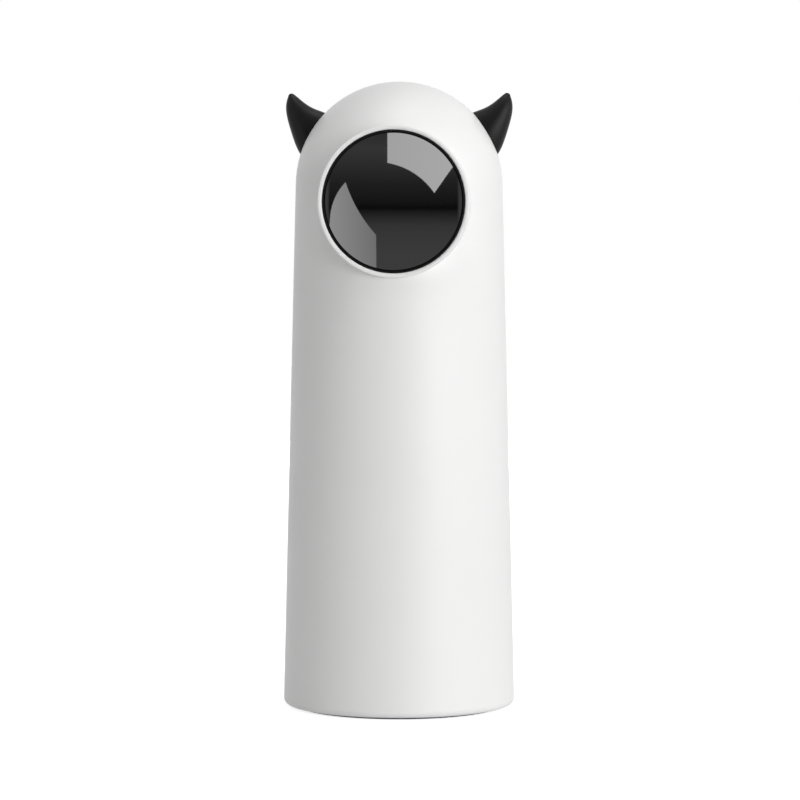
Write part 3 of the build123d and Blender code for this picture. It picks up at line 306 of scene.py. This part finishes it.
def circuit_board(name):
    """Solder mask over copper tracks, which run along and up the board."""
    material, tree, shader = new_material(name)
    place = tree.nodes.new("ShaderNodeTexCoord")
    upright = tree.nodes.new("ShaderNodeMapping")
    upright.inputs["Rotation"].default_value = (-pi / 2, 0, 0)
    tree.links.new(place.outputs["Object"], upright.inputs["Vector"])
    tracks = tree.nodes.new("ShaderNodeTexBrick")
    tracks.offset = 0.37
    tracks.squash = 0.6
    tracks.squash_frequency = 3
    for socket, value in (
        ("Color1", (0.006, 0.085, 0.028, 1)), ("Color2", (0.008, 0.1, 0.034, 1)),
        ("Mortar", (0.03, 0.2, 0.07, 1)), ("Scale", 1.0), ("Brick Width", 0.0042),
        ("Row Height", 0.0011), ("Mortar Size", 0.00016), ("Mortar Smooth", 0.2),
    ):
        tracks.inputs[socket].default_value = value
    tree.links.new(upright.outputs["Vector"], tracks.inputs["Vector"])
    tree.links.new(tracks.outputs["Color"], shader.inputs["Base Color"])
    roughen(tree, shader, size=0.004, low=0.2, high=0.3)
    return material


board_green = circuit_board("board_green")
finish(board_green, "main_board", "laser_board")
chip_black = moulded_plastic(
    "chip_black", (0.02, 0.02, 0.02), rough=(0.45, 0.6), skin=0.0002, relief=0.00001,
)
finish(chip_black, "board_components", "usb_tongue", "mode_switch")
nickel = metal("nickel", (0.72, 0.71, 0.68), rough=(0.15, 0.28))
finish(nickel, "usb_port")
plunger_white = moulded_plastic("plunger_white", (0.75, 0.75, 0.74), rough=(0.35, 0.45))
finish(plunger_white, "switch_plunger")

pipe_clear, tree, shader = new_material("pipe_clear")
shader.inputs["Base Color"].default_value = (0.85, 0.87, 0.88, 1)
shader.inputs["Transmission Weight"].default_value = 0.75
shader.inputs["IOR"].default_value = acrylic_bend
roughen(tree, shader, size=0.0004, low=0.3, high=0.5)
finish(pipe_clear, "light_pipe")


# --- Button ---------------------------------------------------------------------------------------
# A cap moulded in white ABS, a little glossier than the sleeve. Its round face comes through the
# rear wall, a lip keeps it in, and its stem stands on the push switch's plunger.

button_white = moulded_plastic("button_white", white_abs, rough=(0.36, 0.44), drift=0.012)
finish(button_white, "power_button")


# --- Pan drive ------------------------------------------------------------------------------------
# A small geared motor under the deck turns the grey yoke through a nylon pinion and gear. The
# yoke's shaft runs in a brass bush in the deck and is kept there by a split steel ring.

bush_brass = metal("bush_brass", (0.82, 0.6, 0.28), rough=(0.2, 0.35))
finish(bush_brass, "pan_bush")
yoke_grey = moulded_plastic(
    "yoke_grey", (0.2, 0.205, 0.22), rough=(0.45, 0.55), skin=0.0004, relief=0.00001,
)
finish(yoke_grey, "pan_yoke")
gear_nylon = moulded_plastic("gear_nylon", (0.82, 0.81, 0.76), rough=(0.35, 0.45), drift=0.04)
finish(gear_nylon, "pan_gear", "pan_pinion", "tilt_gear", "tilt_pinion")
can_steel = metal("can_steel", (0.66, 0.66, 0.67), rough=(0.2, 0.32))
finish(can_steel, "pan_motor", "tilt_motor")
shaft_steel = metal("shaft_steel", (0.7, 0.7, 0.71), rough=(0.12, 0.2))
finish(shaft_steel, "pan_motor_shaft", "tilt_motor_shaft", "cradle_pins", "pan_clip")


# --- Laser ----------------------------------------------------------------------------------------
# A turned brass barrel with a glass lens, clamped in a black cradle that tilts on two steel pins.
# Its driver board is soldered across the back of the barrel.

glass_bend = 1.52           # refractive index
cradle_black = moulded_plastic("cradle_black", (0.03, 0.03, 0.03), rough=(0.4, 0.5))
finish(cradle_black, "laser_cradle")
barrel_brass = metal("barrel_brass", (0.84, 0.62, 0.3), rough=(0.15, 0.3))
finish(barrel_brass, "laser_barrel")
beam_glass, tree, shader = new_material("beam_glass")
shader.inputs["Transmission Weight"].default_value = 1.0
shader.inputs["IOR"].default_value = glass_bend
roughen(tree, shader, size=0.001, low=0.0, high=0.03)
finish(beam_glass, "laser_lens")


# --- Camera ---------------------------------------------------------------------------------------
# A long lens a metre in front of the toy, a little to its right and looking slightly down. It is
# turned a hair aside, so that the toy stands just off the picture's middle.

eye_distance = 1.0
eye_height = 0.14166
eye_turn = radians(2.9)
eye_dip = radians(2.3546)
eye_aside = radians(0.017)
focal_length = 137.1        # in millimetres, as the sensor's width
sensor_width = 36

camera_data = bpy.data.cameras.new("camera")
camera_data.lens = focal_length
camera_data.sensor_width = sensor_width
camera = bpy.data.objects.new("camera", camera_data)
camera.location = (eye_distance * sin(eye_turn), -eye_distance * cos(eye_turn), eye_height)
camera.rotation_euler = (pi / 2 - eye_dip, 0, eye_turn - eye_aside)
scene.collection.objects.link(camera)
scene.camera = camera


# --- Studio ---------------------------------------------------------------------------------------
# A white floor in a white room. What is glossy mirrors a dark wall behind the camera instead, which
# lightens upwards and towards the floor, and the window also mirrors two softboxes.

floor_radius = 4.0
floor_steps = 96            # round its edge
floor_tone = 0.75
floor_glow = 0.8            # what the camera sees on top of the lit floor, so that it ends in white
room_light = 0.343
mirrored_room = (           # sine of the elevation, and the level seen there by a glossy ray
    (-0.36, 1.1), (-0.2, 0.92), (-0.15, 0.82), (-0.06, 0.3), (-0.025, 0.07),
    (0.02, 0.17), (0.15, 0.32), (0.4, 0.85), (0.5, 0.6),
)
wall_middle = radians(-3.0)
wall_half_width = radians(26.7)
wall_fade = radians(1.0)


def bare_material(name):
    """A new material without its shader, its node tree, and the socket that makes its surface."""
    material, tree, shader = new_material(name)
    tree.nodes.remove(shader)
    return material, tree, tree.nodes["Material Output"].inputs["Surface"]


def feed(tree, socket, value):
    """Links that value to the socket, or sets it there where it is a plain number."""
    if isinstance(value, bpy.types.NodeSocket):
        tree.links.new(value, socket)
    else:
        socket.default_value = value


def join(tree, operation, *values):
    """A Math node fed with sockets and numbers."""
    node = tree.nodes.new("ShaderNodeMath")
    node.operation = operation
    for socket, value in zip(node.inputs, values):
        feed(tree, socket, value)
    return node.outputs["Value"]


def between(tree, factor, low, high):
    """The value that lies that far from low to high."""
    node = tree.nodes.new("ShaderNodeMix")
    for name, value in zip(("Factor", "A", "B"), (factor, low, high)):
        feed(tree, node.inputs[name], value)
    return node.outputs["Result"]


def stepped(tree, value, start, end):
    """Nought below start, one above end, and a straight rise between them."""
    node = tree.nodes.new("ShaderNodeMapRange")
    node.inputs["From Min"].default_value = start
    node.inputs["From Max"].default_value = end
    tree.links.new(value, node.inputs["Value"])
    return node.outputs["Result"]


def graph(tree, value, points):
    """A curve through those points, each a value and its level."""
    start, end, peak = points[0][0], points[-1][0], max(level for _, level in points)
    node = tree.nodes.new("ShaderNodeValToRGB")
    ramp = node.color_ramp
    while len(ramp.elements) < len(points):
        ramp.elements.new(1.0)
    for element, (place, level) in zip(ramp.elements, points):
        element.position = (place - start) / (end - start)
        element.color = (level / peak, level / peak, level / peak, 1)
    tree.links.new(stepped(tree, value, start, end), node.inputs["Fac"])
    return join(tree, "MULTIPLY", node.outputs["Color"], peak)


def axes(tree, output):
    """The three parts of that output of Texture Coordinate."""
    place = tree.nodes.new("ShaderNodeTexCoord")
    parts = tree.nodes.new("ShaderNodeSeparateXYZ")
    tree.links.new(place.outputs[output], parts.inputs["Vector"])
    return parts.outputs


def ray_kinds(tree):
    """The kinds of ray, and one for a ray that the camera sees straight or through glass."""
    kinds = tree.nodes.new("ShaderNodeLightPath").outputs
    return kinds, join(tree, "MAXIMUM", kinds["Is Camera Ray"], kinds["Is Transmission Ray"])


mesh = bpy.data.meshes.new("floor")
build = bmesh.new()
bmesh.ops.create_circle(build, cap_ends=True, segments=floor_steps, radius=floor_radius)
build.to_mesh(mesh)
build.free()
floor = bpy.data.objects.new("floor", mesh)
floor.visible_glossy = False
scene.collection.objects.link(floor)

floor_white, tree, surface = bare_material("floor_white")
paint = tree.nodes.new("ShaderNodeBsdfDiffuse")
paint.inputs["Color"].default_value = (floor_tone, floor_tone, floor_tone, 1)
glow = tree.nodes.new("ShaderNodeEmission")
_, seen = ray_kinds(tree)
tree.links.new(join(tree, "MULTIPLY", seen, floor_glow), glow.inputs["Strength"])
both = tree.nodes.new("ShaderNodeAddShader")
tree.links.new(paint.outputs["BSDF"], both.inputs[0])
tree.links.new(glow.outputs["Emission"], both.inputs[1])
tree.links.new(both.outputs["Shader"], surface)
mesh.materials.append(floor_white)

room = bpy.data.worlds.new("room")
room.use_nodes = True
scene.world = room
tree = room.node_tree
direction = axes(tree, "Generated")
toward = join(tree, "MULTIPLY", direction["Y"], -1.0)
turn = join(tree, "ARCTAN2", direction["X"], toward)
aside = join(tree, "ABSOLUTE", join(tree, "SUBTRACT", turn, wall_middle))
beyond_wall = stepped(tree, aside, wall_half_width, wall_half_width + wall_fade)
mirrored = between(tree, beyond_wall, graph(tree, direction["Z"], mirrored_room), 1.0)
kinds, seen = ray_kinds(tree)
level = between(tree, kinds["Is Glossy Ray"], room_light, mirrored)
level = between(tree, seen, level, 1.0)
backdrop = tree.nodes["Background"]
backdrop.inputs["Color"].default_value = (1, 1, 1, 1)
tree.links.new(level, backdrop.inputs["Strength"])

# Lamps. Turn and rise are where they stand, in degrees: the toy's front is 0 and its right 90.
lamp_distance = 1.6
lamp_aim = Vector((0, 0, 0.1))

window_alone = bpy.data.collections.new("window_alone")
window_alone.objects.link(window)
all_but_window = bpy.data.collections.new("all_but_window")
all_but_window.objects.link(window)
all_but_window.collection_objects[0].light_linking.link_state = "EXCLUDE"


def lamp(name, turn, rise, size, level):
    """A square soft lamp that lights a white face turned to it by that level, but no window."""
    data = bpy.data.lights.new(name, "AREA")
    data.shape = "SQUARE"
    data.size = size
    data.energy = level * (pi * lamp_distance)**2
    piece = bpy.data.objects.new(name, data)
    piece.light_linking.receiver_collection = all_but_window
    turn, rise = radians(turn), radians(rise)
    aim = Vector((sin(turn) * cos(rise), -cos(turn) * cos(rise), sin(rise)))
    piece.location = aim * lamp_distance + lamp_aim
    piece.rotation_euler = aim.to_track_quat("Z", "Y").to_euler()
    scene.collection.objects.link(piece)
    return piece


lamp("key", turn=35, rise=10, size=0.7, level=0.26)
lamp("fill", turn=55, rise=10, size=0.7, level=0.23)
lamp("side", turn=95, rise=10, size=0.7, level=0.053)
lamp("high", turn=20, rise=80, size=0.9, level=0.28)
lamp("back", turn=183, rise=2, size=0.5, level=0.24).visible_glossy = False

# Softboxes, cut so that the window shows each one whole. A corner is given by where the window
# mirrors it, across and up from the window's middle, and by how far the edge that follows it
# bulges outwards.
softbox_distance = 1.5


def mirrored_by_window(across, up):
    """The place on the softboxes' plane that the camera sees mirrored at that place."""
    depth = sqrt(window_curve**2 - across**2 - up**2)
    spot = ball_middle + Vector((across, -depth, up))
    leaving = (spot - camera.location).normalized().reflect((spot - ball_middle).normalized())
    return spot - leaving * ((softbox_distance + spot.y) / leaving.y)


def softbox(name, left_level, right_level, corners, edge_steps=16):
    """A flat light of that outline, brighter to one end, which only the window mirrors."""
    mesh = bpy.data.meshes.new(name)
    build = bmesh.new()
    outline = []
    for index, (across, up, bulge) in enumerate(corners):
        start, end = Vector((across, up)), Vector(corners[(index + 1) % len(corners)][:2])
        outwards = Vector((end.y - start.y, start.x - end.x)).normalized()
        for step in range(edge_steps):
            along = step / edge_steps
            arch = 4 * along * (1 - along)      # one in the middle of the edge, nought at its ends
            place = start.lerp(end, along) + outwards * bulge * arch
            outline.append(build.verts.new(mirrored_by_window(*place)))
    reach = [point.co.x for point in outline]
    build.faces.new(outline)
    build.to_mesh(mesh)
    build.free()
    white, tree, surface = bare_material(name)
    rightwards = stepped(tree, axes(tree, "Object")["X"], min(reach), max(reach))
    glow = tree.nodes.new("ShaderNodeEmission")
    tree.links.new(between(tree, rightwards, left_level, right_level), glow.inputs["Strength"])
    tree.links.new(glow.outputs["Emission"], surface)
    mesh.materials.append(white)
    piece = bpy.data.objects.new(name, mesh)
    piece.visible_camera = piece.visible_diffuse = piece.visible_shadow = False
    piece.visible_transmission = piece.visible_volume_scatter = False
    piece.light_linking.receiver_collection = window_alone
    scene.collection.objects.link(piece)


softbox("high_softbox", left_level=9.2, right_level=10.1, corners=(
    (-0.0019, 0.0222, 0), (-0.0018, 0.0121, -0.0018), (0.013, 0.0026, 0), (0.0191, 0.0114, 0.0034),
))
softbox("low_softbox", left_level=6.6, right_level=4.0, corners=(
    (-0.0151, 0.0061, 0.0015), (-0.0201, -0.0074, 0), (-0.0192, -0.0114, 0.0017),
    (-0.0054, -0.0217, 0), (-0.0054, -0.0106, -0.001),
))

scene.view_settings.view_transform = "Standard"
